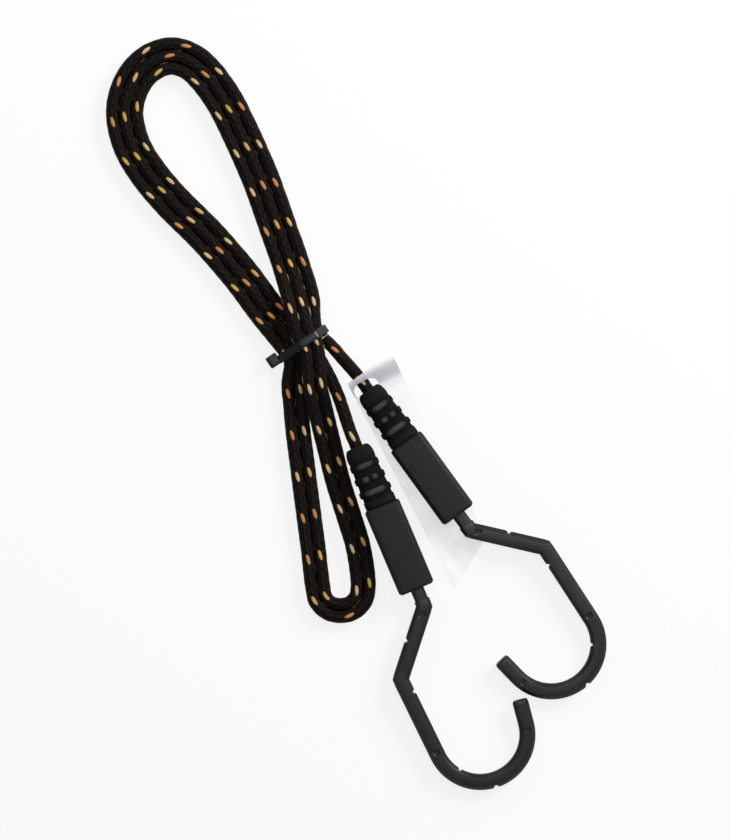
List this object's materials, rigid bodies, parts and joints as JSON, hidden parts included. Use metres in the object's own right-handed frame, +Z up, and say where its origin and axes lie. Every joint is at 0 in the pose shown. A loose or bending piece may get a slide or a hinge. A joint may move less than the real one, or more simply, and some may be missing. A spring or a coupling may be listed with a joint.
{
  "type": "bungee cord",
  "caption": "Elastic braided cord folded into a tied hank, with a plastic-covered steel hook in a block grip and a ribbed boot at each end.",
  "frame": {"origin": "on the surface that the part lies on, under the middle of the box round the two grips with their hooks", "axes": "+Z up from that surface; +Y from the hooks towards the hank, along the longest side of that box"},
  "size_m": [0.271, 0.4077, 0.0244],
  "materials": {
    "braided_sheath": "braided polyester, black with orange and yellow tracers",
    "latex_core": "bundle of raw latex strands",
    "hook_plastic": "moulded, half matt",
    "grip_plastic": "moulded, fine matt grain",
    "boot_rubber": "moulded, matt",
    "rod_steel": "drawn wire",
    "ferrule_steel": "zinc plated",
    "tie_nylon": "moulded nylon, slightly glossy",
    "tag_film": "clear white film, blank"
  },
  "bodies": {
    "hank": {"cord_hank_sheath": "braided_sheath", "cord_hank_core": "latex_core", "cord_end_a_sheath": "braided_sheath", "cord_end_a_core": "latex_core", "cord_end_b_sheath": "braided_sheath", "cord_end_b_core": "latex_core", "cable_tie": "tie_nylon", "hang_tag": "tag_film"},
    "grip_a": {"hook_cover_a": "hook_plastic", "hook_rod_a": "rod_steel", "grip_upper_a": "grip_plastic", "grip_lower_a": "grip_plastic", "flex_boot_a": "boot_rubber", "cord_ferrule_a": "ferrule_steel", "cord_tail_a_sheath": "braided_sheath", "cord_tail_a_core": "latex_core"},
    "grip_b": {"hook_cover_b": "hook_plastic", "hook_rod_b": "rod_steel", "grip_upper_b": "grip_plastic", "grip_lower_b": "grip_plastic", "flex_boot_b": "boot_rubber", "cord_ferrule_b": "ferrule_steel", "cord_tail_b_sheath": "braided_sheath", "cord_tail_b_core": "latex_core"}
  },
  "joints": [
    {"name": "grip_a_lift", "type": "hinge", "parent": "hank", "child": "grip_a", "pos_m": [-0.05993, 0.10732, 0.01106], "axis": [-0.809, -0.5878, 0], "range_deg": [0, 60]},
    {"name": "grip_b_lift", "type": "hinge", "parent": "hank", "child": "grip_b", "pos_m": [-0.06569, 0.07679, 0.01106], "axis": [-0.9205, -0.3907, 0], "range_deg": [0, 30]}
  ]
}
